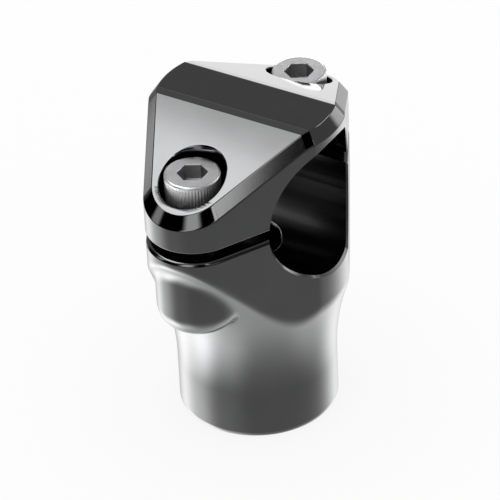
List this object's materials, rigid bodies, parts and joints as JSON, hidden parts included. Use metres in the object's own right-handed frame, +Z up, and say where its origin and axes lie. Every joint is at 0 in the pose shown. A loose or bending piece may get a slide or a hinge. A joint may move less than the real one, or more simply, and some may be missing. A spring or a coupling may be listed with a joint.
{
  "type": "motorcycle bar riser",
  "caption": "Round post that flares into a split handlebar clamp with a faceted cap and socket screws, in black and silver metal.",
  "frame": {"origin": "centre of the post's foot, on the face that stands on the fork's top clamp", "axes": "+Z up the post, +X along the handlebar, -Y towards the front screw; symmetric about XZ and YZ"},
  "size_m": [0.0372, 0.057, 0.0677],
  "materials": {
    "body_black": "satin black anodised aluminium",
    "cap_black": "gloss black anodised aluminium",
    "screw_steel": "bright steel with a knurled head"
  },
  "bodies": {
    "riser": {"riser_body": "body_black"},
    "cap": {"clamp_cap": "cap_black"},
    "front_screw": {"front_clamp_screw": "screw_steel"},
    "rear_screw": {"rear_clamp_screw": "screw_steel"}
  },
  "joints": [
    {"name": "cap_close", "type": "slide", "parent": "riser", "child": "cap", "axis": [0, 0, -1], "range_m": [0, 0.0022]},
    {"name": "front_screw_turn", "type": "hinge", "parent": "cap", "child": "front_screw", "pos_m": [0, -0.0193, 0.0565], "axis": [0, 0, -1], "range_deg": [0, 793]},
    {"name": "rear_screw_turn", "type": "hinge", "parent": "cap", "child": "rear_screw", "pos_m": [0, 0.0193, 0.0565], "axis": [0, 0, -1], "range_deg": [0, 793]}
  ],
  "couplings": [
    {"joint": "front_screw_turn", "follows": "cap_close", "rad_per_m": 6283.2},
    {"joint": "rear_screw_turn", "follows": "cap_close", "rad_per_m": 6283.2}
  ]
}
